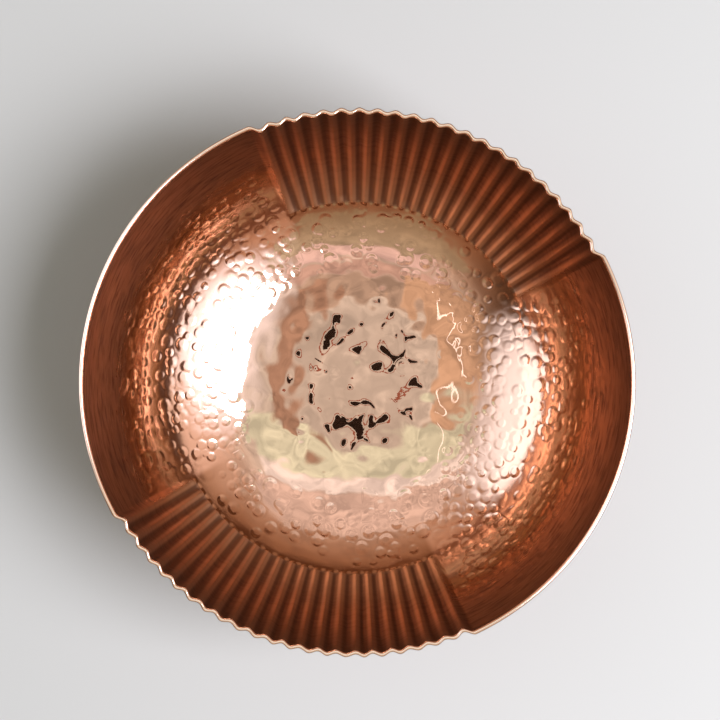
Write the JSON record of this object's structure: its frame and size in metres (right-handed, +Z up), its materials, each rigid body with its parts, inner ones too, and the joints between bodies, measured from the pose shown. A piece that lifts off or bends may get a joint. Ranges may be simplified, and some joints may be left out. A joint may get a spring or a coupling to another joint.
{
  "type": "hammered copper bowl",
  "caption": "Wide round hammered copper bowl with a flat base, two opposite fluted wall sectors and a scalloped wired rim.",
  "frame": {"origin": "middle of the flat resting face, on the surface that the bowl stands on", "axes": "+Z up along the bowl's axis; the two fluted sectors face +Y and -Y, the plain hammered sectors face +X and -X"},
  "size_m": [0.4, 0.395, 0.1499],
  "materials": {
    "copper_sheet": "hammered and polished copper, clear, no patina",
    "copper_wire": "drawn copper wire, dull"
  },
  "bodies": {
    "root": {"bowl_shell": "copper_sheet", "rim_wire": "copper_wire"}
  },
  "joints": []
}
